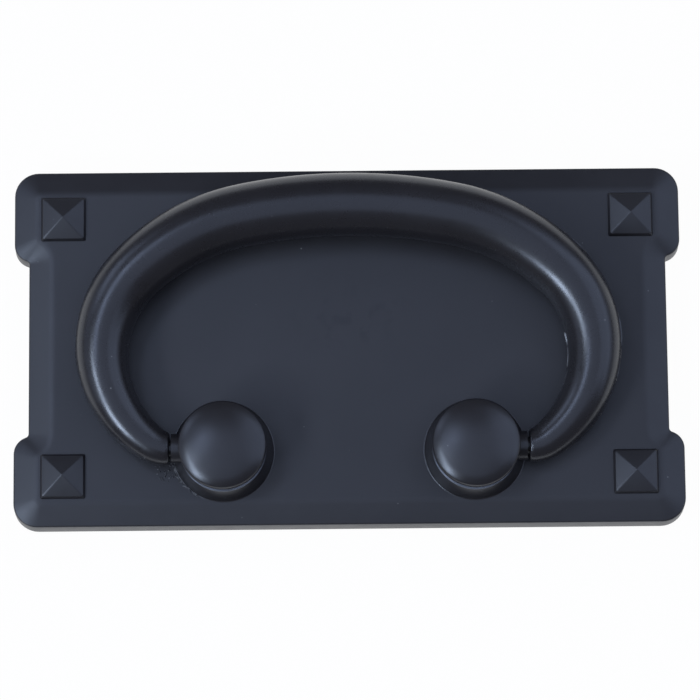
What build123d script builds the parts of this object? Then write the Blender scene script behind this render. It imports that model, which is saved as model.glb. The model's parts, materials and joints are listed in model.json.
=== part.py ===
"""Drawer pull: a bevelled backplate, two domed posts and a tapered bail that swings between them.

Millimetres. The pull is drawn as it hangs on a drawer front: X to the right, Z up, the plate's
back in the plane Y = 0 and its front facing -Y. The origin is the centre of the plate's back.
"""
import os
from math import acos, asin, atan, cos, degrees, radians, sin, tan

from build123d import *

# Backplate, outside
plate_width = 101.6
plate_height = 54.9
wall_height = 4.0
wall_draft = 2.0
bevel_width = 3.5
bevel_rise = 1.1
corner_radius = 3.8
face_corner_radius = 0.9
crease_radius = 4.0
notch_depth = 2.24
notch_length = 26.0
notch_corner_radius = 0.5
ear_radius = 2.8
lip_radius = 0.35

# Backplate, hollow back
rim_width = 3.0
pocket_depth = 2.6
pocket_draft = 3.0
pocket_corner_radius = 1.5
screw_hole_spacing = 76.2
screw_hole_radius = 1.73
screw_hole_depth = 4.1
boss_radius = 4.4

# Pyramid studs in the corners of the face
stud_inset = 7.65
stud_foot = 6.8
stud_shoulder = 6.2
stud_root = 0.3
stud_wall_height = 0.6
stud_cap_height = 1.35
stud_tip = 0.12

# Posts
post_spacing = 37.86
post_below_top = 11.18
post_base_radius = 7.5
post_base_edge = 0.3
post_waist_radius = 6.4
post_waist_height = 2.0
post_waist_fillet = 0.35
post_head_radius = 6.6
post_wall_top = 7.05
post_shoulder_radius = 0.9
post_dome_height = 8.85
spigot_radius = 3.0
spigot_shortfall = 0.2

# Screws that hold the posts from behind
post_screw_shank_radius = 1.5
post_screw_head_radius = 3.4
post_screw_head_height = 1.7
post_screw_head_edge = 0.7
post_screw_reach = 5.5
post_screw_recess_length = 3.4
post_screw_recess_width = 0.8
post_screw_recess_depth = 1.0

# Bail
bail_middle_diameter = 9.5
bail_end_diameter = 4.9
bail_taper_power = 3.3
bail_hook_radius = 4.96
bail_hook_turn = 35.1
bail_side_radius = 16.95
bail_side_turn = 100.8
bail_shoulder_radius = 31.8
bail_shoulder_turn = 32.9
bail_end_round = 0.4
bail_sections = 16
pin_radius = 1.3
pin_height = 3.5
pin_engagement = 3.4

# Clearances
pin_clearance = 0.05
pin_end_gap = 0.3
bail_end_gap = 0.52
bail_rest_gap = 0.3
spigot_clearance = 0.05
thread_clearance = 0.05

# How far apart two points may lie and still count as level
level_tolerance = 0.01

# Sizes that follow from those above
plate_thickness = wall_height + bevel_rise
draft_inset = wall_height * tan(radians(wall_draft))
face_inset = draft_inset + bevel_width
stud_spacing_x = plate_width - 2 * stud_inset
stud_spacing_z = plate_height - 2 * stud_inset
stud_wall_taper = degrees(atan((stud_foot - stud_shoulder) / 2 / stud_wall_height))
stud_cap_taper = degrees(atan((stud_shoulder - stud_tip) / 2 / stud_cap_height))
post_x = post_spacing / 2
post_above_centre = plate_height / 2 - post_below_top
pin_y = -plate_thickness - pin_height
bail_end_x = post_x + post_base_radius + bail_end_gap
pin_tip_x = post_x + post_head_radius - pin_engagement
bore_end_x = pin_tip_x - pin_end_gap


def notched_outline(level, inset, outer_round, ear_round):
    """Draws the plate's outline at a height above the back, inside the full one by an inset.

    Each ear ends in an arc that runs on into the inner corner of the notch beside it.
    """
    half_width = plate_width / 2 - inset
    half_height = plate_height / 2 - inset
    half_notch = notch_length / 2
    inner_radius = notch_corner_radius + inset
    turn = degrees(acos(1 - notch_depth / (ear_round + inner_radius)))
    ear_end = half_notch + (ear_round + inner_radius) * sin(radians(turn))
    with BuildSketch(Plane.XZ.offset(level)) as outline:
        with BuildLine():
            top = Line((outer_round - half_width, half_height), (half_width - outer_round, half_height))
            corner = JernArc(top @ 1, top % 1, outer_round, -90)
            side = Line(corner @ 1, (half_width, ear_end))
            ear = JernArc(side @ 1, side % 1, ear_round, -turn)
            inner = JernArc(ear @ 1, ear % 1, inner_radius, turn)
            notch = Line(inner @ 1, (half_width - notch_depth, -half_notch))
            mirror(top, about=Plane.XZ)
            lower = mirror((corner, side, ear, inner), about=Plane.XZ)
            mirror((corner, side, ear, inner, notch, *lower.edges()), about=Plane.YZ)
        make_face()
    return outline.sketch


def level_edges(part, level):
    """The edges of a part that lie at one height above the back."""
    middles = part.edges().filter_by(lambda edge: abs(edge.center().Y + level) < level_tolerance)
    return middles.filter_by(lambda edge: edge.bounding_box().size.Y < level_tolerance)


# Backplate: a drafted wall under a bevelled face, cored out behind
with BuildPart() as backplate:
    loft(
        [
            notched_outline(0, 0, corner_radius, ear_radius),
            notched_outline(wall_height, draft_inset, corner_radius - draft_inset, ear_radius - draft_inset),
            notched_outline(plate_thickness, face_inset, face_corner_radius, face_corner_radius),
        ],
        ruled=True,
    )
    fillet(level_edges(backplate, wall_height), lip_radius)
    fillet(level_edges(backplate, plate_thickness), crease_radius)
    with BuildSketch(Plane.XZ):
        add(notched_outline(0, rim_width, pocket_corner_radius, pocket_corner_radius))
    extrude(amount=pocket_depth, taper=pocket_draft, mode=Mode.SUBTRACT)
    with BuildSketch(Plane.XZ):
        with GridLocations(screw_hole_spacing, 0, 2, 1):
            Circle(boss_radius)
    extrude(amount=pocket_depth)
    with BuildSketch(Plane.XZ):
        with GridLocations(screw_hole_spacing, 0, 2, 1):
            Circle(screw_hole_radius)
    extrude(amount=screw_hole_depth, mode=Mode.SUBTRACT)
    with BuildSketch(Plane.XZ):
        with Locations((-post_x, post_above_centre), (post_x, post_above_centre)):
            Circle(spigot_radius + spigot_clearance)
    extrude(amount=plate_thickness, mode=Mode.SUBTRACT)
    with BuildSketch(Plane.XZ.offset(plate_thickness)) as stud_feet:
        with GridLocations(stud_spacing_x, stud_spacing_z, 2, 2):
            Rectangle(stud_foot, stud_foot)
    extrude(amount=stud_wall_height, taper=stud_wall_taper)
    extrude(stud_feet.sketch, amount=-stud_root)
    with BuildSketch(Plane.XZ.offset(plate_thickness + stud_wall_height)):
        with GridLocations(stud_spacing_x, stud_spacing_z, 2, 2):
            Rectangle(stud_shoulder, stud_shoulder)
    extrude(amount=stud_cap_height, taper=stud_cap_taper)


def corners_at(sketch, level):
    """The corners of a sketch at one height in its own plane."""
    return sketch.vertices().filter_by(lambda corner: abs(corner.Y - level) < level_tolerance)


def make_post(side):
    """A turned post: flared base, waist, domed head, a spigot through the plate and a bore for the pin."""
    foot = Vector(side * post_x, -plate_thickness, post_above_centre)
    spigot_end = plate_thickness - pocket_depth - spigot_shortfall
    with BuildPart() as post:
        with BuildSketch(Plane(foot, x_dir=(1, 0, 0), z_dir=(0, 0, -1))) as section:
            with BuildLine():
                Polyline(
                    (0, post_dome_height),
                    (0, -spigot_end),
                    (spigot_radius, -spigot_end),
                    (spigot_radius, 0),
                    (post_base_radius, 0),
                    (post_base_radius, post_base_edge),
                    (post_waist_radius, post_waist_height),
                    (post_head_radius, pin_height),
                    (post_head_radius, post_wall_top),
                )
                TangentArc((0, post_dome_height), (post_head_radius, post_wall_top), tangent=(1, 0))
            make_face()
            fillet(corners_at(section, post_wall_top), post_shoulder_radius)
            fillet(corners_at(section, post_waist_height), post_waist_fillet)
        revolve(axis=Axis(foot, (0, -1, 0)))
        bore_end = Vector(side * bore_end_x, pin_y, post_above_centre)
        with BuildSketch(Plane(bore_end, x_dir=(0, 1, 0), z_dir=(side, 0, 0))):
            Circle(pin_radius + pin_clearance)
        extrude(amount=bail_end_x - bore_end_x, mode=Mode.SUBTRACT)
        with BuildSketch(Plane(foot + Vector(0, spigot_end, 0), x_dir=(1, 0, 0), z_dir=(0, -1, 0))):
            Circle(post_screw_shank_radius + thread_clearance)
        extrude(amount=post_screw_reach, mode=Mode.SUBTRACT)
    return post.part


def make_post_screw(side):
    """A pan-head screw with a cross recess: its head on the floor of the pocket, its shank in the post."""
    seat = Vector(side * post_x, -pocket_depth, post_above_centre)
    with BuildPart() as screw:
        with BuildSketch(Plane(seat, x_dir=(1, 0, 0), z_dir=(0, 0, -1))) as section:
            with BuildLine():
                Polyline(
                    (0, -post_screw_head_height),
                    (0, post_screw_reach),
                    (post_screw_shank_radius, post_screw_reach),
                    (post_screw_shank_radius, 0),
                    (post_screw_head_radius, 0),
                    (post_screw_head_radius, -post_screw_head_edge),
                )
                TangentArc(
                    (0, -post_screw_head_height),
                    (post_screw_head_radius, -post_screw_head_edge),
                    tangent=(1, 0),
                )
            make_face()
        revolve(axis=Axis(seat, (0, -1, 0)))
        head_top = seat + Vector(0, post_screw_head_height, 0)
        with BuildSketch(Plane(head_top, x_dir=(1, 0, 0), z_dir=(0, -1, 0))):
            Rectangle(post_screw_recess_length, post_screw_recess_width)
            Rectangle(post_screw_recess_width, post_screw_recess_length)
        extrude(amount=post_screw_recess_depth, mode=Mode.SUBTRACT)
    return screw.part


def bail_route(plane):
    """The bail's centreline: tangent arcs from the hook at one end, over the crown, to the other end."""
    crown_turn = 180 - bail_hook_turn - bail_side_turn - bail_shoulder_turn
    with BuildLine(plane) as route:
        hook = JernArc((bail_end_x, 0), (1, 0), bail_hook_radius, bail_hook_turn)
        leg = JernArc(hook @ 1, hook % 1, bail_side_radius, bail_side_turn)
        shoulder = JernArc(leg @ 1, leg % 1, bail_shoulder_radius, bail_shoulder_turn)
        crown_radius = (shoulder @ 1).X / sin(radians(crown_turn))
        JernArc(shoulder @ 1, shoulder % 1, crown_radius, 2 * crown_turn)
        mirror((hook, leg, shoulder), about=Plane.YZ)
    return route.wires()[0]


def bail_radius(place):
    """The rod's radius at a place along the route, from 0 at one end over 0.5 at the crown to 1."""
    from_crown = abs(2 * place - 1)
    taper = (bail_middle_diameter - bail_end_diameter) / 2
    return bail_middle_diameter / 2 - taper * from_crown**bail_taper_power


def drop_from_pins(place):
    """How far a place of the bail lies below the pins when it hangs straight down."""
    return (flat_route @ place).Y


def lean_to_clear(place):
    """How far the bail leans out where one place of it lies just clear of the plate."""
    return asin((bail_radius(place) + bail_rest_gap - pin_height) / drop_from_pins(place))


# Bail: hung from its pins and leaning out just far enough to lie clear of the plate
places = [step / bail_sections for step in range(bail_sections + 1)]
flat_route = bail_route(Plane.XY)
places_past_hooks = [place for place in places if drop_from_pins(place) > bail_middle_diameter / 2]
lean = max(lean_to_clear(place) for place in places_past_hooks)
bail_plane = Plane(
    origin=(0, pin_y, post_above_centre),
    x_dir=(1, 0, 0),
    z_dir=(0, cos(lean), -sin(lean)),
)
route = bail_route(bail_plane)
with BuildPart() as bail:
    for place in places:
        with BuildSketch(Plane(route @ place, x_dir=bail_plane.z_dir, z_dir=route % place)):
            Circle(bail_radius(place))
    sweep(path=route, multisection=True)
    fillet(bail.faces().filter_by(GeomType.PLANE).edges(), bail_end_round)
    for side in (-1, 1):
        bail_end = Vector(side * bail_end_x, pin_y, post_above_centre)
        with BuildSketch(Plane(bail_end, x_dir=(0, 1, 0), z_dir=(-side, 0, 0))):
            Circle(pin_radius)
        extrude(amount=bail_end_x - pin_tip_x)

pieces = {
    "backplate": backplate.part,
    "left_post": make_post(-1),
    "right_post": make_post(1),
    "left_post_screw": make_post_screw(-1),
    "right_post_screw": make_post_screw(1),
    "bail": bail.part,
}
os.makedirs("parts", exist_ok=True)
for name, piece in pieces.items():
    piece.label = name
    export_step(piece, f"parts/{name}.step")
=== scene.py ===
"""The looks of a satin black drawer pull: a bevelled backplate, two domed posts and a tapered bail.

Metres, in the part's own frame: X right, Z up, the plate's back in the plane Y = 0, its front facing -Y.
The camera hangs upside down in front of it, because the photograph shows the pull turned by half a turn.
"""
import json
import math
import random

import bmesh
import bpy
from mathutils import Matrix, Vector


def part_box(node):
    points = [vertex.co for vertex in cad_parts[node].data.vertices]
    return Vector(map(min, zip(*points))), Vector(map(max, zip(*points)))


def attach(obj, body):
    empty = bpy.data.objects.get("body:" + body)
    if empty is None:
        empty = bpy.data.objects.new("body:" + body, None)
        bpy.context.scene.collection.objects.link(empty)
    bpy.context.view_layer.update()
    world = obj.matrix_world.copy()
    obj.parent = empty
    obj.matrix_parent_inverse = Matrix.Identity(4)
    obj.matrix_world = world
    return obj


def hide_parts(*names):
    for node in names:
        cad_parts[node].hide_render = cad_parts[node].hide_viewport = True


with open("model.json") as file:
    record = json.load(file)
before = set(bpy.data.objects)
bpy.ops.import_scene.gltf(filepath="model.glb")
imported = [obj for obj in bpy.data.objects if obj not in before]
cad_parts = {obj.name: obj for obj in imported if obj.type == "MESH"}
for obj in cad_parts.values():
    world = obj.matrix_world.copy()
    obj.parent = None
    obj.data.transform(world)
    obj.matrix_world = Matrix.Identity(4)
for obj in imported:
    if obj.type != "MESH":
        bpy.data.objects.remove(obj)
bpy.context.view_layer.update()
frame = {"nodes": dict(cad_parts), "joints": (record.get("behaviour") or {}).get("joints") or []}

MM = 0.001

# Places and sizes read from the frame
plate_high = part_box("backplate")[1]
pin_axis = Vector(frame["joints"][0]["pos_m"])
HALF_WIDTH = plate_high.x
HALF_HEIGHT = plate_high.z
POST_X = (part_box("right_post")[0].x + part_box("right_post")[1].x) / 2
POST_Z = (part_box("right_post")[0].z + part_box("right_post")[1].z) / 2

# Backplate
WALL_HEIGHT = 4.0 * MM
PLATE_THICKNESS = 5.1 * MM
WALL_DRAFT = math.radians(2.0)
BEVEL_WIDTH = 3.5 * MM
CORNER_RADIUS = 3.8 * MM
FACE_CORNER_RADIUS = 0.9 * MM
NOTCH_DEPTH = 2.24 * MM
NOTCH_LENGTH = 26.0 * MM
NOTCH_CORNER_RADIUS = 0.5 * MM
EAR_RADIUS = 2.8 * MM
LIP_RADIUS = 0.35 * MM
CREASE_RADIUS = 4.0 * MM
BACK_EDGE = 0.12 * MM
FACE_MARGIN = 0.3 * MM
RIM_WIDTH = 3.0 * MM
POCKET_DEPTH = 2.6 * MM
POCKET_DRAFT = math.radians(3.0)
POCKET_CORNER_RADIUS = 1.5 * MM
SCREW_HOLE_SPACING = 76.2 * MM
SCREW_HOLE_RADIUS = 1.73 * MM
SCREW_HOLE_DEPTH = 4.1 * MM
BOSS_RADIUS = 4.4 * MM
SPIGOT_HOLE_RADIUS = 3.05 * MM

# Pyramid studs
STUD_INSET = 7.65 * MM
STUD_HALF_FOOT = 3.4 * MM
STUD_HALF_SHOULDER = 3.1 * MM
STUD_WALL_HEIGHT = 0.6 * MM
STUD_HEIGHT = 1.95 * MM
STUD_EDGE = 0.14 * MM
STUD_ARRIS = 0.3 * MM
STUD_ARRIS_MOST = 0.9
STUD_ARRIS_STEPS = 6

# Posts. An arc of the dome has a radius and the slope at its outer end
POST_BASE_RADIUS = 7.5 * MM
POST_BASE_EDGE = 0.3 * MM
POST_LEDGE_RADIUS = 6.42 * MM
POST_WAIST_RADIUS = 6.2 * MM
POST_WAIST_HEIGHT = 3.1 * MM
PAINT_FILLET = 0.25 * MM
POST_WALL_START = 6.1 * MM
POST_DOME_HEIGHT = 8.85 * MM
DOME_ARCS = (
    (16.5 * MM, math.radians(18)),
    (5.0 * MM, math.radians(34)),
    (0.6 * MM, math.radians(90)),
)
DOME_STEPS = 12
POST_EDGE_ROUND = 0.1 * MM
POST_RIM_ROUND = 0.3 * MM
SPIGOT_RADIUS = 3.0 * MM
SPIGOT_LENGTH = 2.3 * MM
TAPPED_RADIUS = 1.55 * MM
TAPPED_DEPTH = 5.5 * MM
BORE_RADIUS = 1.35 * MM
COLLAR_RADIUS = 2.2 * MM
COLLAR_GAP = 0.3 * MM

# Bail. An arc of its line has a radius and a turn, from the end towards the crown
BAIL_MIDDLE_RADIUS = 4.75 * MM
BAIL_END_RADIUS = 2.45 * MM
BAIL_TAPER_POWER = 3.3
BAIL_ARCS = (
    (4.96 * MM, math.radians(35.1)),
    (16.95 * MM, math.radians(100.8)),
    (31.8 * MM, math.radians(32.9)),
)
BAIL_END_X = POST_X + 8.02 * MM
BAIL_END_ROUND = 0.4 * MM
BAIL_END_STEPS = 8
BAIL_REST_GAP = 0.3 * MM
PIN_RADIUS = 1.3 * MM
PIN_TIP_X = POST_X + 3.2 * MM
BORE_END_X = PIN_TIP_X - 0.3 * MM
PIN_POINT = 0.2 * MM

# Parting flash on the bail: shares of its full height, then how it varies along the rod. Each wave of it
# has a swing, a rate and a shift
RIDGE_HEIGHT = 0.2 * MM
RIDGE_LEAST = 0.15
RIDGE_WEAK = 0.25
RIDGE_INSIDE = 0.4
RIDGE_MEAN = 0.45
RIDGE_WAVES = ((0.4, 61, 0), (0.35, 143, 1))
RIDGE_END_FADE = 10
RIDGE_GROWS_FROM = 0.62
RIDGE_GROWTH = 8
# Half its width at the top and at the foot, in radians round the rod
RIDGE_TOP = 0.022
RIDGE_FOOT = 0.045
# Where it is chipped on the inside of one leg, and the wear on the rest of it
CHIP_LOW = -1.5 * MM
CHIP_HIGH = 9.0 * MM
RIDGE_RUB = 0.06

# Crumbs of paint by one post: arcs in degrees round it from +X towards +Z
CRUMB_SEED = 7
CRUMB_COUNT = 240
CRUMBS_PER_SCATTERED = 4
CRUMB_ARC = (6, 60)
CRUMB_SCATTER_ARC = (4, 30)
CRUMB_BAND = 0.5 * MM
CRUMB_SCATTER = 3.0 * MM
CRUMB_SIZE = (0.05 * MM, 0.16 * MM)
CRUMB_WIDTHS = (0.7, 1.4)
CRUMB_HEIGHTS = (0.4, 0.9)
CRUMB_ROUGHNESS = 0.12

# Coat and the marks on it. A scale is in waves to the metre, a range is what is kept of a noise
COAT_IOR = 1.55
COAT_TINT = (0.775, 0.854, 1.0)
COAT_DARK = (0.0122, 0.0118, 0.0140)
COAT_LIGHT = (0.0155, 0.0150, 0.0178)
MOTTLE_SCALE = 90
MOTTLE_RANGE = (0.3, 0.75)
POST_ROUGHNESS = (0.30, 0.36)
BAIL_ROUGHNESS = (0.25, 0.31)
FACE_ROUGHNESS = (0.40, 0.46)
SHEEN_SCALE = 500
SHEEN_RANGE = (0.25, 0.75)
PEEL_SCALE = 2600
PEEL_STRENGTH = 0.2
PEEL_HEIGHT = 0.02 * MM
DUST_COLOUR = (0.16, 0.165, 0.175)
DUST_SCALE = 420
DUST_EDGE = (0.06, 0.03)
DUST_CHOSEN = (0.7, 0.95)
SMUDGE_COLOUR = (0.0085, 0.0085, 0.0105)
SMUDGE_SCALE = 420
SMUDGE_RANGE = (0.52, 0.66)
SMUDGE_CORE = 0.4
SMUDGE_CENTRE = (0.5 * MM, -PLATE_THICKNESS, -4.5 * MM)
SMUDGE_REACH = (11.0 * MM, 1.0 * MM, 7.0 * MM)
# A pale blue band round each post's waist ledge: partly the coat rubbed thin, partly a painted highlight
# for the bright line along the ledge
LEDGE_LEVEL = -PLATE_THICKNESS - POST_WAIST_HEIGHT
LEDGE_BAND = 0.25 * MM
LEDGE_SCALE = 260
LEDGE_RANGE = (0.3, 0.55)
LEDGE_LEAST = 0.5
RUBBED_AND_HIGHLIGHT_COLOUR = (0.1, 0.115, 0.15)
WEAR_MARK = "wear"
CHIP_COLOUR = (0.16, 0.17, 0.19)
CHIP_SCALE = 700
CHIP_RANGE = (0.38, 0.56)
FLAKE_COLOUR = (0.085, 0.09, 0.1)
FLAKE_SCALE = 1600
FLAKE_RANGE = (0.5, 0.6)
ZINC_DARK = (0.42, 0.42, 0.40)
ZINC_LIGHT = (0.62, 0.62, 0.58)
ZINC_SCALE = 900
ZINC_RANGE = (0.2, 0.8)
ZINC_ROUGHNESS = (0.25, 0.45)

# Camera, as fitted to the photograph
CAMERA_DISTANCE = 0.6
CAMERA_TILT = math.radians(10.65)
CAMERA_YAW = math.radians(-0.25)
CAMERA_ROLL = math.radians(0.581)
CAMERA_LENS = 203.78
CAMERA_SENSOR = 36
CAMERA_NEAREST = 0.01
CAMERA_FARTHEST = 10
AIM_RIGHT = 0.27 * MM
AIM_DOWN = 0.81 * MM

# Light: a lamp's name, direction on the photograph's page, width, height, lean in degrees, brightness
# and colour
LAMP_DISTANCE = 1.0
LAMP_COOL = (0.81, 0.89, 1.0)
LAMP_BLUE = (0.70, 0.79, 1.0)
LAMPS = (
    ("strip", (-0.63, -0.36, 0.69), 0.2, 0.56, -6, 11.5, LAMP_COOL),
    ("strip_foot", (-0.60, -0.52, 0.61), 0.2, 0.22, 0, 17.0, LAMP_COOL),
    ("strip_head", (-0.68, -0.10, 0.72), 0.16, 0.25, 0, 6.2, LAMP_COOL),
    ("upper_strip", (-0.42, 0.15, 0.89), 0.18, 0.5, -27, 4.9, LAMP_BLUE),
    ("left_fill", (-0.68, 0.5, 0.53), 0.3, 0.4, 0, 2.3, LAMP_BLUE),
    ("left_edge", (-0.93, 0.1, 0.34), 0.35, 1.0, 0, 0.5, LAMP_BLUE),
    ("right_fill", (0.68, 0.2, 0.7), 0.8, 1.0, 0, 1.25, LAMP_BLUE),
    ("right_edge", (0.92, 0.1, 0.36), 0.35, 1.0, 0, 0.7, LAMP_BLUE),
    ("right_top", (0.5, 0.6, 0.62), 0.5, 0.5, 0, 0.42, LAMP_BLUE),
    ("overhead", (-0.03, -0.08, 1.0), 0.8, 1.1, 0, 0.74, LAMP_BLUE),
    ("behind", (0.0, 0.1, -1.0), 2.4, 1.6, 0, 0.8, LAMP_BLUE),
)
ROOM_COLOUR = (0.12, 0.11, 0.11, 1)

# Floor, and the kinds of rays to which the floor and the world look white
FLOOR_SPREAD = 30
FLOOR_NEAR = 56 * MM
FLOOR_GAP = 0.4 * MM
FLOOR_HIDDEN = 0.6 * MM
FLOOR_COLOUR = (0.60, 0.66, 0.80, 1)
FLOOR_WHITE = 0.975
FLOOR_WHITE_RAYS = ("Is Camera Ray", "Is Glossy Ray", "Is Transmission Ray")
WORLD_WHITE_RAYS = ("Is Camera Ray",)


def arc_points(centre, radius, start, end, steps):
    """Points on an arc from one angle to another, both ends included."""
    angles = [start + (end - start) * step / steps for step in range(steps + 1)]
    return [(centre[0] + radius * math.cos(a), centre[1] + radius * math.sin(a)) for a in angles]


def rounded_corner(previous, corner, following, radius, steps):
    """Points on the arc that rounds a corner between its two neighbours."""
    corner = Vector(corner)
    before = (Vector(previous) - corner).normalized()
    after = (Vector(following) - corner).normalized()
    half = before.angle(after) / 2
    reach = radius / math.tan(half)
    centre = corner + (before + after).normalized() * radius / math.sin(half)
    first = corner + before * reach - centre
    turn = first.angle_signed(corner + after * reach - centre)
    points = []
    for step in range(steps + 1):
        spoke = first.copy()
        spoke.rotate(Matrix.Rotation(-turn * step / steps, 2))
        points.append(centre + spoke)
    return points


def rounded_square(half, radius, steps):
    """A closed square outline as (x, z) points, with each corner rounded."""
    corners = [(half, half), (half, -half), (-half, -half), (-half, half)]
    outline = []
    for index, corner in enumerate(corners):
        following = corners[(index + 1) % len(corners)]
        outline += rounded_corner(corners[index - 1], corner, following, radius, steps)
    return outline


def fillet_profile(points, steps=6):
    """A polyline from (x, y, radius) points, with each inner corner rounded by its radius."""
    profile = [Vector(points[0][:2])]
    for previous, point, following in zip(points, points[1:], points[2:]):
        radius = point[2]
        if radius == 0:
            profile.append(Vector(point[:2]))
        else:
            profile += rounded_corner(previous[:2], point[:2], following[:2], radius, steps)
    profile.append(Vector(points[-1][:2]))
    return profile


def make_object(name, mesh):
    """A new object in the scene that holds the mesh."""
    piece = bpy.data.objects.new(name, mesh)
    bpy.context.scene.collection.objects.link(piece)
    return piece


def skin_rings(name, rings):
    """An object from rings of as many points each, or of one point, skinned and closed at both ends."""
    shell = bmesh.new()
    loops = [[shell.verts.new(point) for point in ring] for ring in rings]
    for low, high in zip(loops, loops[1:]):
        count = max(len(low), len(high))
        for index in range(count):
            following = (index + 1) % count
            if len(low) == 1:
                shell.faces.new((low[0], high[following], high[index]))
            elif len(high) == 1:
                shell.faces.new((low[index], low[following], high[0]))
            else:
                shell.faces.new((low[index], low[following], high[following], high[index]))
    if len(loops[0]) > 1:
        shell.faces.new(list(reversed(loops[0])))
    if len(loops[-1]) > 1:
        shell.faces.new(loops[-1])
    bmesh.ops.recalc_face_normals(shell, faces=shell.faces)
    mesh = bpy.data.meshes.new(name)
    shell.to_mesh(mesh)
    shell.free()
    return make_object(name, mesh)


def combine(piece, tool, operation):
    """Joins a tool to a piece, or cuts it away, and deletes the tool."""
    modifier = piece.modifiers.new("combine", "BOOLEAN")
    modifier.operation = operation
    modifier.solver = "EXACT"
    modifier.object = tool
    bpy.context.view_layer.update()
    evaluated = piece.evaluated_get(bpy.context.evaluated_depsgraph_get())
    mesh = bpy.data.meshes.new_from_object(evaluated)
    piece.modifiers.clear()
    piece.data = mesh
    bpy.data.objects.remove(tool)


def smooth(piece, angle=30):
    """Shades a piece smooth, with edges sharper than the angle left crisp."""
    piece.data.shade_smooth()
    piece.data.set_sharp_from_angle(angle=math.radians(angle))


def turned(name, foot, profile, segments=144):
    """A turned piece about an axis through foot along Y, from (radius, height above the face) points."""
    rings = []
    for radius, height in profile:
        if radius == 0:
            rings.append([(foot.x, foot.y - height, foot.z)])
            continue
        ring = []
        for step in range(segments):
            angle = 2 * math.pi * step / segments
            x = foot.x + radius * math.cos(angle)
            z = foot.z + radius * math.sin(angle)
            ring.append((x, foot.y - height, z))
        rings.append(ring)
    return skin_rings(name, rings)


def cylinder_along(name, start, end, radius, segments=64):
    """A plain closed cylinder from one point to another, used as a cutting tool or a boss."""
    start, end = Vector(start), Vector(end)
    turn = (end - start).to_track_quat("Z", "Y")
    rings = []
    for centre in (start, end):
        ring = []
        for step in range(segments):
            angle = 2 * math.pi * step / segments
            ring.append(centre + turn @ Vector((radius * math.cos(angle), radius * math.sin(angle), 0)))
        rings.append(ring)
    return skin_rings(name, rings)


def plate_outline(inset, outer_radius, ear_radius, steps=10):
    """The plate's outline as (x, z) points, inside the full one by an inset. Each ear ends in an arc
    that runs on into the inner corner of the notch beside it."""
    half_width = HALF_WIDTH - inset
    half_height = HALF_HEIGHT - inset
    half_notch = NOTCH_LENGTH / 2
    inner_radius = NOTCH_CORNER_RADIUS + inset
    turn = math.acos(1 - NOTCH_DEPTH / (ear_radius + inner_radius))
    corner_centre = (half_width - outer_radius, half_height - outer_radius)
    ear_centre = (half_width - ear_radius, half_notch + (ear_radius + inner_radius) * math.sin(turn))
    inner_centre = (half_width - NOTCH_DEPTH + inner_radius, half_notch)
    quarter = arc_points(corner_centre, outer_radius, math.pi / 2, 0, steps)
    quarter += arc_points(ear_centre, ear_radius, 0, -turn, steps)
    quarter += arc_points(inner_centre, inner_radius, math.pi - turn, math.pi, steps)
    half = quarter + [(x, -z) for x, z in reversed(quarter)]
    return half + [(-x, -z) for x, z in half]


def plate_ring(inset, level):
    """One ring of the plate's outside. The corners tighten from the lip to the face."""
    lip_inset = WALL_HEIGHT * math.tan(WALL_DRAFT)
    if inset <= lip_inset:
        outer_radius = CORNER_RADIUS - inset
        ear_radius = EAR_RADIUS - inset
    else:
        share = min((inset - lip_inset) / BEVEL_WIDTH, 1)
        outer_radius = (CORNER_RADIUS - lip_inset) * (1 - share) + FACE_CORNER_RADIUS * share
        ear_radius = (EAR_RADIUS - lip_inset) * (1 - share) + FACE_CORNER_RADIUS * share
    return [(x, -level, z) for x, z in plate_outline(inset, outer_radius, ear_radius)]


def make_stud(x, z):
    """A pyramid stud with a short wall at its foot and softly rounded arrises."""
    half_tip = STUD_ARRIS / 2
    outline = fillet_profile(
        [
            (STUD_HALF_FOOT, -STUD_WALL_HEIGHT, 0),
            (STUD_HALF_FOOT, 0, 0),
            (STUD_HALF_SHOULDER, STUD_WALL_HEIGHT, STUD_EDGE),
            (half_tip, STUD_HEIGHT, 0),
        ]
    )
    rings = []
    for half, height in outline:
        square = rounded_square(half, min(STUD_ARRIS, half * STUD_ARRIS_MOST), STUD_ARRIS_STEPS)
        rings.append([(x + dx, -PLATE_THICKNESS - height, z + dz) for dx, dz in square])
    rings.append([(x, -PLATE_THICKNESS - STUD_HEIGHT - half_tip / 4, z)])
    return skin_rings("stud", rings)


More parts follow.
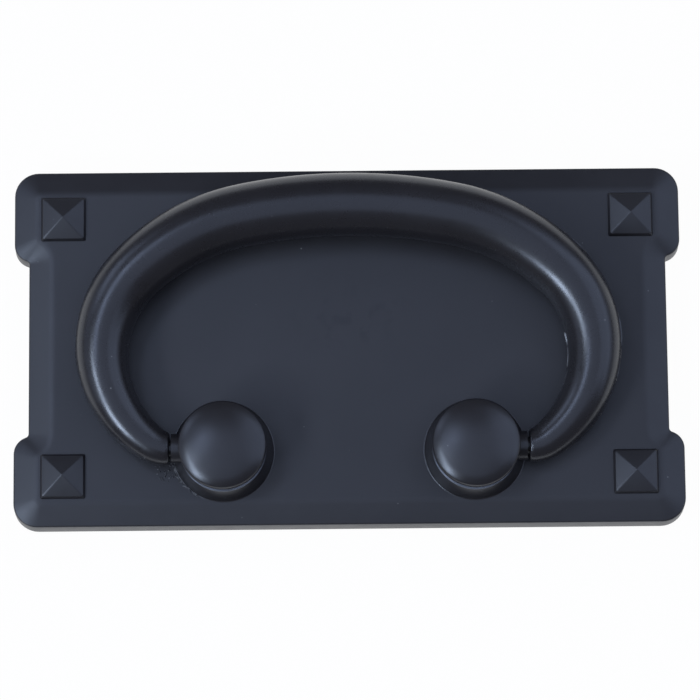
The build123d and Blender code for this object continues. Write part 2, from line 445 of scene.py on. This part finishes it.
def make_backplate():
    """The plate: drafted wall, rounded lip, bevel, soft crease and face, studs, and the cored-out back."""
    lip_inset = WALL_HEIGHT * math.tan(WALL_DRAFT)
    face_inset = lip_inset + BEVEL_WIDTH
    profile = fillet_profile(
        [
            (BACK_EDGE * 3, 0, 0),
            (0, 0, BACK_EDGE),
            (lip_inset, WALL_HEIGHT, LIP_RADIUS),
            (face_inset, PLATE_THICKNESS, CREASE_RADIUS),
            (face_inset + BEVEL_WIDTH, PLATE_THICKNESS, 0),
        ],
        steps=8,
    )
    # The flat face begins just inside the crease
    profile[-1] = Vector((profile[-2].x + FACE_MARGIN, PLATE_THICKNESS))
    plate = skin_rings("pull_backplate", [plate_ring(inset, level) for inset, level in profile])
    for x in (-HALF_WIDTH + STUD_INSET, HALF_WIDTH - STUD_INSET):
        for z in (-HALF_HEIGHT + STUD_INSET, HALF_HEIGHT - STUD_INSET):
            combine(plate, make_stud(x, z), "UNION")
    floor_inset = RIM_WIDTH + POCKET_DEPTH * math.tan(POCKET_DRAFT)
    pocket = skin_rings(
        "pocket",
        [
            [(x, -level, z) for x, z in plate_outline(inset, POCKET_CORNER_RADIUS, POCKET_CORNER_RADIUS)]
            for inset, level in ((RIM_WIDTH, -POCKET_DEPTH), (RIM_WIDTH, 0), (floor_inset, POCKET_DEPTH))
        ],
    )
    combine(plate, pocket, "DIFFERENCE")
    for side in (-1, 1):
        x = side * SCREW_HOLE_SPACING / 2
        boss = cylinder_along("boss", (x, 0, 0), (x, -PLATE_THICKNESS + POCKET_DEPTH / 2, 0), BOSS_RADIUS)
        combine(plate, boss, "UNION")
        hole = cylinder_along("hole", (x, POCKET_DEPTH, 0), (x, -SCREW_HOLE_DEPTH, 0), SCREW_HOLE_RADIUS)
        combine(plate, hole, "DIFFERENCE")
        spigot_hole = cylinder_along(
            "hole",
            (side * POST_X, POCKET_DEPTH, POST_Z),
            (side * POST_X, -2 * PLATE_THICKNESS, POST_Z),
            SPIGOT_HOLE_RADIUS,
        )
        combine(plate, spigot_hole, "DIFFERENCE")
    smooth(plate)
    return plate


def make_post(name, side):
    """A post: tapped spigot, flared base, waist, domed head and a bored collar for the bail's pin."""
    foot = Vector((side * POST_X, -PLATE_THICKNESS, POST_Z))
    dome = [(0, POST_DOME_HEIGHT, 0)]
    slope = 0.0
    for radius, end_slope in DOME_ARCS:
        reach, height, _ = dome[-1]
        for step in range(1, DOME_STEPS + 1):
            angle = slope + (end_slope - slope) * step / DOME_STEPS
            out = radius * (math.sin(angle) - math.sin(slope))
            drop = radius * (math.cos(slope) - math.cos(angle))
            dome.append((reach + out, height - drop, 0))
        slope = end_slope
    head_radius = dome[-1][0]
    profile = fillet_profile(
        [
            (0, TAPPED_DEPTH - SPIGOT_LENGTH, 0),
            (TAPPED_RADIUS, TAPPED_DEPTH - SPIGOT_LENGTH, 0),
            (TAPPED_RADIUS, -SPIGOT_LENGTH, 0),
            (SPIGOT_RADIUS, -SPIGOT_LENGTH, 0),
            (SPIGOT_RADIUS, 0, 0),
            (POST_BASE_RADIUS + PAINT_FILLET, 0, 0),
            (POST_BASE_RADIUS, 0, PAINT_FILLET),
            (POST_BASE_RADIUS, POST_BASE_EDGE, 0),
            (POST_LEDGE_RADIUS, POST_WAIST_HEIGHT, POST_EDGE_ROUND),
            (POST_WAIST_RADIUS, POST_WAIST_HEIGHT, POST_EDGE_ROUND),
            (head_radius, POST_WALL_START, POST_RIM_ROUND),
        ]
        + dome[::-1],
        steps=8,
    )
    post = turned(name, foot, profile)
    collar = cylinder_along(
        "collar",
        (side * (POST_X + POST_WAIST_RADIUS / 2), pin_axis.y, pin_axis.z),
        (side * (BAIL_END_X - COLLAR_GAP), pin_axis.y, pin_axis.z),
        COLLAR_RADIUS,
    )
    combine(post, collar, "UNION")
    bore = cylinder_along(
        "bore",
        (side * BORE_END_X, pin_axis.y, pin_axis.z),
        (side * BAIL_END_X, pin_axis.y, pin_axis.z),
        BORE_RADIUS,
    )
    combine(post, bore, "DIFFERENCE")
    smooth(post)
    return post


def bail_line(steps_per_arc=70):
    """The bail's centreline from its right end to its left one, in its own plane: points as x and reach
    below the pins, each with the line's direction there."""
    line = [(Vector((BAIL_END_X, 0)), 0.0)]

    def follow(radius, turn):
        """Lengthens the line by an arc."""
        place, heading = line[-1]
        centre = place + radius * Vector((-math.sin(heading), math.cos(heading)))
        for step in range(1, steps_per_arc + 1):
            angle = heading + turn * step / steps_per_arc
            line.append((centre + radius * Vector((math.sin(angle), -math.cos(angle))), angle))

    for radius, turn in BAIL_ARCS:
        follow(radius, turn)
    place, heading = line[-1]
    crown_turn = math.pi - heading
    follow(place.x / math.sin(crown_turn), crown_turn)
    for point, angle in reversed(line[:-1]):
        line.append((Vector((-point.x, point.y)), 2 * math.pi - angle))
    return line


def bail_radius(share):
    """The rod's radius at a share of its length, from 0 at one end over 0.5 at the crown to 1."""
    taper = BAIL_MIDDLE_RADIUS - BAIL_END_RADIUS
    return BAIL_MIDDLE_RADIUS - taper * abs(2 * share - 1) ** BAIL_TAPER_POWER


def ring_angles(around=96):
    """Angles round the rod, with extra ones where the parting flash runs along its outside and inside."""
    angles = []
    for step in range(around):
        angle = 2 * math.pi * step / around
        if abs(math.sin(angle)) > RIDGE_FOOT:
            angles.append(angle)
    for seam in (0.0, math.pi):
        angles += [seam + offset for offset in (-RIDGE_FOOT, -RIDGE_TOP, 0.0, RIDGE_TOP, RIDGE_FOOT)]
    return sorted(angles)


def ridge_height(share):
    """The flash's height at a share of the rod's length: uneven, tall on one leg, gone at the ends."""
    wave = RIDGE_MEAN
    for swing, rate, shift in RIDGE_WAVES:
        wave += swing * math.sin(rate * share + shift)
    fade = min(1, RIDGE_END_FADE * share, RIDGE_END_FADE * (1 - share))
    strength = min(max(RIDGE_GROWTH * (share - RIDGE_GROWS_FROM), RIDGE_WEAK), 1)
    return RIDGE_HEIGHT * fade * strength * min(max(wave, RIDGE_LEAST), 1)


def make_bail(name):
    """The bail: pins, rounded ends and a tapered rod with a faint parting flash, chipped on the inside."""
    line = bail_line()
    lengths = [0.0]
    for (before, _), (after, _) in zip(line, line[1:]):
        lengths.append(lengths[-1] + (after - before).length)
    shares = [length / lengths[-1] for length in lengths]
    lean = 0.0
    for (point, _), share in zip(line, shares):
        if point.y > BAIL_MIDDLE_RADIUS:
            stand = bail_radius(share) + BAIL_REST_GAP - (-PLATE_THICKNESS - pin_axis.y)
            lean = max(lean, math.asin(stand / point.y))
    across = Vector((1, 0, 0))
    down = Vector((0, -math.sin(lean), -math.cos(lean)))
    behind = Vector((0, math.cos(lean), -math.sin(lean)))
    angles = ring_angles()
    marks = []

    def ring(point, heading, radius, ridge):
        """One ring round the rod. The wear at each of its points is added to the marks."""
        outward = across * math.sin(heading) - down * math.cos(heading)
        centre = pin_axis + across * point.x + down * point.y
        points = []
        for angle in angles:
            spoke = outward * math.cos(angle) + behind * math.sin(angle)
            on_ridge = ridge > 0 and abs(math.sin(angle)) < (RIDGE_TOP + RIDGE_FOOT) / 2
            inside = math.cos(angle) < 0
            if not on_ridge:
                flash, mark = 0.0, 0.0
            elif inside and point.x < 0 and CHIP_LOW < centre.z < CHIP_HIGH:
                flash, mark = ridge, 1.0
            else:
                flash, mark = ridge * (RIDGE_INSIDE if inside else 1), RIDGE_RUB
            points.append(centre + spoke * (radius + flash))
            marks.append(mark)
        return points

    end_rings = []
    for x, radius in (
        (PIN_TIP_X, PIN_RADIUS - PIN_POINT),
        (PIN_TIP_X + PIN_POINT, PIN_RADIUS),
        (BAIL_END_X, PIN_RADIUS),
    ):
        end_rings.append((Vector((x, 0)), 0.0, radius, 0.0))
    for step in range(BAIL_END_STEPS + 1):
        angle = math.pi / 2 * step / BAIL_END_STEPS
        x = BAIL_END_X + BAIL_END_ROUND * (1 - math.cos(angle))
        radius = BAIL_END_RADIUS - BAIL_END_ROUND * (1 - math.sin(angle))
        end_rings.append((Vector((x, 0)), 0.0, radius, 0.0))
    rod = []
    for (point, heading), share, length in zip(line, shares, lengths):
        if BAIL_END_ROUND < length < lengths[-1] - BAIL_END_ROUND:
            rod.append((point, heading, bail_radius(share), ridge_height(share)))
    far_end = []
    for point, _, radius, ridge in reversed(end_rings):
        far_end.append((Vector((-point.x, 0)), 2 * math.pi, radius, ridge))
    bail = skin_rings(name, [ring(*entry) for entry in end_rings + rod + far_end])
    bail.data.attributes.new(WEAR_MARK, "FLOAT", "POINT").data.foreach_set("value", marks)
    smooth(bail, angle=40)
    return bail


def make_crumbs(name):
    """Crumbs of paint stuck along the foot of one post, a few scattered on the plate by the bail's end."""
    dice = random.Random(CRUMB_SEED)
    shell = bmesh.new()
    for index in range(CRUMB_COUNT):
        if index % CRUMBS_PER_SCATTERED == 0:
            angle = math.radians(dice.uniform(*CRUMB_SCATTER_ARC))
            reach = POST_BASE_RADIUS + dice.random() * CRUMB_SCATTER
        else:
            angle = math.radians(dice.uniform(*CRUMB_ARC))
            reach = POST_BASE_RADIUS + dice.random() ** 2 * CRUMB_BAND
        size = dice.uniform(*CRUMB_SIZE)
        centre = (POST_X + reach * math.cos(angle), -PLATE_THICKNESS, POST_Z + reach * math.sin(angle))
        shape = [dice.uniform(*spread) for spread in (CRUMB_WIDTHS, CRUMB_HEIGHTS, CRUMB_WIDTHS)]
        stretch = Matrix.Diagonal((*shape, 1))
        turn = Matrix.Rotation(dice.uniform(0, 2 * math.pi), 4, "Y")
        lump = bmesh.ops.create_icosphere(
            shell, subdivisions=2, radius=size, matrix=Matrix.Translation(centre) @ turn @ stretch
        )
        for corner in lump["verts"]:
            corner.co += Vector([dice.uniform(-CRUMB_ROUGHNESS, CRUMB_ROUGHNESS) * size for _ in range(3)])
    mesh = bpy.data.meshes.new(name)
    shell.to_mesh(mesh)
    shell.free()
    crumbs = make_object(name, mesh)
    smooth(crumbs, angle=50)
    return crumbs


def new_material(name):
    """A material with an empty node tree: returns the material, its nodes and its links."""
    material = bpy.data.materials.new(name)
    material.use_nodes = True
    nodes = material.node_tree.nodes
    nodes.clear()
    return material, nodes, material.node_tree.links


def noise(nodes, links, place, scale, detail=3):
    """A noise value from 0 to 1. Scale is in waves to the metre."""
    texture = nodes.new("ShaderNodeTexNoise")
    texture.inputs["Scale"].default_value = scale
    texture.inputs["Detail"].default_value = detail
    links.new(place, texture.inputs["Vector"])
    return texture.outputs["Fac"]


def remap(nodes, links, value, low, high, to_low=0.0, to_high=1.0):
    """A value stretched from one range to another and held inside it."""
    stretch = nodes.new("ShaderNodeMapRange")
    stretch.inputs["From Min"].default_value = low
    stretch.inputs["From Max"].default_value = high
    stretch.inputs["To Min"].default_value = to_low
    stretch.inputs["To Max"].default_value = to_high
    links.new(value, stretch.inputs["Value"])
    return stretch.outputs["Result"]


def gather(nodes, links, operation, values):
    """Several values put together by an operation, such as a product or the largest."""
    result = values[0]
    for value in values[1:]:
        step = nodes.new("ShaderNodeMath")
        step.operation = operation
        links.new(result, step.inputs[0])
        links.new(value, step.inputs[1])
        result = step.outputs[0]
    return result


def product(nodes, links, *values):
    """Several values multiplied together."""
    return gather(nodes, links, "MULTIPLY", values)


def mix_shaders(nodes, links, share, first, second):
    """A shader that goes from a first to a second one as a share goes from 0 to 1."""
    mix = nodes.new("ShaderNodeMixShader")
    links.new(share, mix.inputs["Fac"])
    links.new(first, mix.inputs[1])
    links.new(second, mix.inputs[2])
    return mix.outputs["Shader"]


def colour_between(nodes, links, value, low_colour, high_colour):
    """A colour that runs from one to another as a value goes from 0 to 1."""
    ramp = nodes.new("ShaderNodeValToRGB")
    ramp.color_ramp.elements[0].color = (*low_colour, 1)
    ramp.color_ramp.elements[1].color = (*high_colour, 1)
    links.new(value, ramp.inputs["Fac"])
    return ramp.outputs["Color"]


def lay_over(nodes, links, share, under, colour):
    """A colour laid over another one by a share from 0 to 1."""
    mix = nodes.new("ShaderNodeMix")
    mix.data_type = "RGBA"
    share_socket, under_socket, colour_socket = [socket for socket in mix.inputs if socket.enabled]
    links.new(share, share_socket)
    links.new(under, under_socket)
    colour_socket.default_value = (*colour, 1)
    return [socket for socket in mix.outputs if socket.enabled][0]


def near(nodes, links, place, centre, reach, core):
    """A share of 1 round a centre that fades to 0 at an ellipsoid of the given reach. The core is the share
    of that reach where the fade begins."""
    for operation, operand in (("SUBTRACT", centre), ("DIVIDE", reach)):
        step = nodes.new("ShaderNodeVectorMath")
        step.operation = operation
        links.new(place, step.inputs[0])
        step.inputs[1].default_value = operand
        place = step.outputs["Vector"]
    length = nodes.new("ShaderNodeVectorMath")
    length.operation = "LENGTH"
    links.new(place, length.inputs[0])
    return remap(nodes, links, length.outputs["Value"], 1.0, core)


def specks(nodes, links, place):
    """A share that is 1 on a few scattered grains of dust and 0 elsewhere."""
    cells = nodes.new("ShaderNodeTexVoronoi")
    cells.inputs["Scale"].default_value = DUST_SCALE
    links.new(place, cells.inputs["Vector"])
    pick = nodes.new("ShaderNodeSeparateColor")
    links.new(cells.outputs["Color"], pick.inputs["Color"])
    grain = remap(nodes, links, cells.outputs["Distance"], *DUST_EDGE)
    chosen = remap(nodes, links, pick.outputs["Red"], *DUST_CHOSEN)
    return product(nodes, links, grain, chosen)


def smudges(nodes, links, place):
    """Faint dark finger marks in the middle of the face."""
    spot = near(nodes, links, place, SMUDGE_CENTRE, SMUDGE_REACH, SMUDGE_CORE)
    stroke = remap(nodes, links, noise(nodes, links, place, SMUDGE_SCALE, detail=5), *SMUDGE_RANGE)
    return product(nodes, links, spot, stroke)


def ledge_wear_and_painted_highlight(nodes, links, place):
    """The narrow ledge round a post's waist: the coat rubbed thin there, and a painted highlight of the
    bright line along it.
    """
    axes = nodes.new("ShaderNodeSeparateXYZ")
    links.new(place, axes.inputs["Vector"])
    level = axes.outputs["Y"]
    below = remap(nodes, links, level, LEDGE_LEVEL + LEDGE_BAND, LEDGE_LEVEL + LEDGE_BAND / 2)
    above = remap(nodes, links, level, LEDGE_LEVEL - LEDGE_BAND, LEDGE_LEVEL - LEDGE_BAND / 2)
    patchy = remap(nodes, links, noise(nodes, links, place, LEDGE_SCALE), *LEDGE_RANGE, to_low=LEDGE_LEAST)
    return product(nodes, links, below, above, patchy)


def marked(nodes, links, place):
    """The share written into the mesh where the coat is chipped or rubbed, broken up by noise."""
    mark = nodes.new("ShaderNodeAttribute")
    mark.attribute_name = WEAR_MARK
    patchy = remap(nodes, links, noise(nodes, links, place, CHIP_SCALE, detail=4), *CHIP_RANGE)
    return product(nodes, links, mark.outputs["Fac"], patchy)


def pale_flakes(nodes, links, place):
    """Paler flakes in the crumbs of paint."""
    return remap(nodes, links, noise(nodes, links, place, FLAKE_SCALE), *FLAKE_RANGE)


def coat_material(name, roughness, layers=()):
    """Satin black lacquer over a casting: blue-black, faintly mottled, with orange peel and a little dust.

    Each layer is a mask of a mark on it and the colour of that mark."""
    material, nodes, links = new_material(name)
    output = nodes.new("ShaderNodeOutputMaterial")
    shader = nodes.new("ShaderNodeBsdfPrincipled")
    shader.inputs["IOR"].default_value = COAT_IOR
    shader.inputs["Specular Tint"].default_value = (*COAT_TINT, 1)
    links.new(shader.outputs["BSDF"], output.inputs["Surface"])
    place = nodes.new("ShaderNodeTexCoord").outputs["Object"]

    mottle = remap(nodes, links, noise(nodes, links, place, MOTTLE_SCALE, detail=4), *MOTTLE_RANGE)
    colour = colour_between(nodes, links, mottle, COAT_DARK, COAT_LIGHT)
    for mask, mark_colour in ((specks, DUST_COLOUR), *layers):
        colour = lay_over(nodes, links, mask(nodes, links, place), colour, mark_colour)
    links.new(colour, shader.inputs["Base Color"])

    grain = noise(nodes, links, place, SHEEN_SCALE, detail=4)
    sheen = remap(nodes, links, grain, *SHEEN_RANGE, *roughness)
    links.new(sheen, shader.inputs["Roughness"])

    bump = nodes.new("ShaderNodeBump")
    bump.inputs["Strength"].default_value = PEEL_STRENGTH
    bump.inputs["Distance"].default_value = PEEL_HEIGHT
    links.new(noise(nodes, links, place, PEEL_SCALE), bump.inputs["Height"])
    links.new(bump.outputs["Normal"], shader.inputs["Normal"])
    return material


def steel_material(name):
    """Bright zinc plating with a faint uneven grain."""
    material, nodes, links = new_material(name)
    output = nodes.new("ShaderNodeOutputMaterial")
    shader = nodes.new("ShaderNodeBsdfPrincipled")
    shader.inputs["Metallic"].default_value = 1.0
    links.new(shader.outputs["BSDF"], output.inputs["Surface"])
    place = nodes.new("ShaderNodeTexCoord").outputs["Object"]
    grain = noise(nodes, links, place, ZINC_SCALE, detail=6)
    links.new(colour_between(nodes, links, grain, ZINC_DARK, ZINC_LIGHT), shader.inputs["Base Color"])
    links.new(remap(nodes, links, grain, *ZINC_RANGE, *ZINC_ROUGHNESS), shader.inputs["Roughness"])
    return material


def white_for(nodes, links, kinds, share):
    """A share of white that only rays of the named kinds see."""
    rays = nodes.new("ShaderNodeLightPath")
    seen = gather(nodes, links, "MAXIMUM", [rays.outputs[kind] for kind in kinds])
    return remap(nodes, links, seen, 0.0, 1.0, to_high=share)


def floor_material():
    """Pale paper that looks white to the camera and in mirrors, and can be seen through from behind."""
    material, nodes, links = new_material("pale_floor")
    output = nodes.new("ShaderNodeOutputMaterial")
    paper = nodes.new("ShaderNodeBsdfDiffuse")
    paper.inputs["Color"].default_value = FLOOR_COLOUR
    glow = nodes.new("ShaderNodeEmission")
    glow.inputs["Strength"].default_value = 1.0
    clear = nodes.new("ShaderNodeBsdfTransparent")
    side = nodes.new("ShaderNodeNewGeometry")
    white = white_for(nodes, links, FLOOR_WHITE_RAYS, FLOOR_WHITE)
    front = mix_shaders(nodes, links, white, paper.outputs["BSDF"], glow.outputs["Emission"])
    surface = mix_shaders(nodes, links, side.outputs["Backfacing"], front, clear.outputs["BSDF"])
    links.new(surface, output.inputs["Surface"])
    return material


def make_floor():
    """The surface that the pull lies on, upright here. It is open where the plate covers it, so that light
    reaches the plate's back, and ends close above the plate, so that the sides mirror less of it."""
    opening = plate_outline(FLOOR_HIDDEN, CORNER_RADIUS - FLOOR_HIDDEN, EAR_RADIUS - FLOOR_HIDDEN)[::-1]
    count = len(opening)
    corners = [(x * FLOOR_SPREAD, FLOOR_GAP, min(z * FLOOR_SPREAD, FLOOR_NEAR)) for x, z in opening]
    corners += [(x, FLOOR_GAP, z) for x, z in opening]
    panels = [(step, (step + 1) % count, (step + 1) % count + count, step + count) for step in range(count)]
    mesh = bpy.data.meshes.new("floor")
    mesh.from_pydata(corners, [], panels)
    mesh.materials.append(floor_material())
    make_object("floor", mesh)


def on_page(right, up, out):
    """A direction in the part's frame from one on the photograph: right, up and out of the plate's face."""
    return Vector((-right, -out, -up))


def camera_axes():
    """The camera's right, up and towards-the-viewer directions in the part's frame."""
    tilt, yaw, roll = CAMERA_TILT, CAMERA_YAW, CAMERA_ROLL
    level_right = on_page(math.cos(yaw), 0, -math.sin(yaw))
    level_up = on_page(math.sin(yaw) * math.sin(tilt), math.cos(tilt), math.cos(yaw) * math.sin(tilt))
    back = on_page(math.sin(yaw) * math.cos(tilt), -math.sin(tilt), math.cos(yaw) * math.cos(tilt))
    right = level_right * math.cos(roll) - level_up * math.sin(roll)
    up = level_right * math.sin(roll) + level_up * math.cos(roll)
    return right, up, back


def turn_to(right, up, back):
    """A rotation whose columns are the right, up and back directions of a camera or lamp."""
    return Matrix((right, up, back)).transposed()


def make_camera():
    """The camera at the photograph's viewing angle."""
    right, up, back = camera_axes()
    aim = Vector((0, -PLATE_THICKNESS, 0)) + right * AIM_RIGHT - up * AIM_DOWN
    data = bpy.data.cameras.new("camera")
    data.lens = CAMERA_LENS
    data.sensor_width = CAMERA_SENSOR
    data.clip_start = CAMERA_NEAREST
    data.clip_end = CAMERA_FARTHEST
    camera = make_object("camera", data)
    turn = turn_to(right, up, back).to_4x4()
    camera.matrix_world = Matrix.Translation(aim + back * CAMERA_DISTANCE) @ turn
    bpy.context.scene.camera = camera


def add_softbox(name, direction, width, height, lean, brightness, colour):
    """A rectangular lamp that faces the pull. Direction is on the photograph's page, width and height are
    in metres, lean turns the lamp in its own plane, and brightness is what the lamp itself looks like."""
    towards = on_page(*direction).normalized()
    lamp_right = on_page(0, 1, 0).cross(towards).normalized()
    lamp_up = towards.cross(lamp_right)
    data = bpy.data.lights.new(name, "AREA")
    data.shape = "RECTANGLE"
    data.size = width
    data.size_y = height
    data.color = colour
    data.energy = brightness * math.pi * width * height
    lamp = make_object(name, data)
    turn = turn_to(lamp_right, lamp_up, towards) @ Matrix.Rotation(math.radians(lean), 3, "Z")
    lamp.matrix_world = Matrix.Translation(towards * LAMP_DISTANCE) @ turn.to_4x4()
    lamp.visible_camera = False


def make_world():
    """A dim room that looks white to the camera alone. The dark coat would mirror a white room all over."""
    world = bpy.data.worlds.new("studio")
    bpy.context.scene.world = world
    world.use_nodes = True
    nodes, links = world.node_tree.nodes, world.node_tree.links
    nodes.clear()
    output = nodes.new("ShaderNodeOutputWorld")
    room = nodes.new("ShaderNodeBackground")
    room.inputs["Color"].default_value = ROOM_COLOUR
    sky = nodes.new("ShaderNodeBackground")
    sky.inputs["Color"].default_value = (1, 1, 1, 1)
    white = white_for(nodes, links, WORLD_WHITE_RAYS, 1.0)
    surface = mix_shaders(nodes, links, white, room.outputs["Background"], sky.outputs["Background"])
    links.new(surface, output.inputs["Surface"])


def dress(piece, material, body, slot, *nodes):
    """Gives a piece its material and body, and lets it stand for the CAD nodes named; the slot is not used.
    """
    piece.data.materials.clear()
    piece.data.materials.append(material)
    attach(piece, body)
    if nodes:
        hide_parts(*nodes)


plate_coat = coat_material("plate_coat", FACE_ROUGHNESS, [(smudges, SMUDGE_COLOUR)])
crumb_coat = coat_material("crumb_coat", FACE_ROUGHNESS, [(pale_flakes, FLAKE_COLOUR)])
# The posts' lighter ledge band is partly wear and partly a painted highlight
post_coat = coat_material("post_coat", POST_ROUGHNESS, [(ledge_wear_and_painted_highlight, RUBBED_AND_HIGHLIGHT_COLOUR)])
bail_coat = coat_material("bail_coat", BAIL_ROUGHNESS, [(marked, CHIP_COLOUR)])
screw_steel = steel_material("screw_steel")

dress(make_backplate(), plate_coat, "base", "plate_coat", "backplate")
dress(make_crumbs("paint_crumbs"), crumb_coat, "base", "plate_coat")
for side, side_name in ((-1, "left"), (1, "right")):
    dress(make_post(f"pull_{side_name}_post", side), post_coat, "base", "post_coat", f"{side_name}_post")
    screw = frame["nodes"][f"{side_name}_post_screw"]
    screw.data.materials.clear()
    screw.data.materials.append(screw_steel)
dress(make_bail("pull_bail"), bail_coat, "bail", "bail_coat", "bail")

make_floor()
make_camera()
for lamp in LAMPS:
    add_softbox(*lamp)
make_world()
bpy.context.scene.view_settings.view_transform = "Standard"
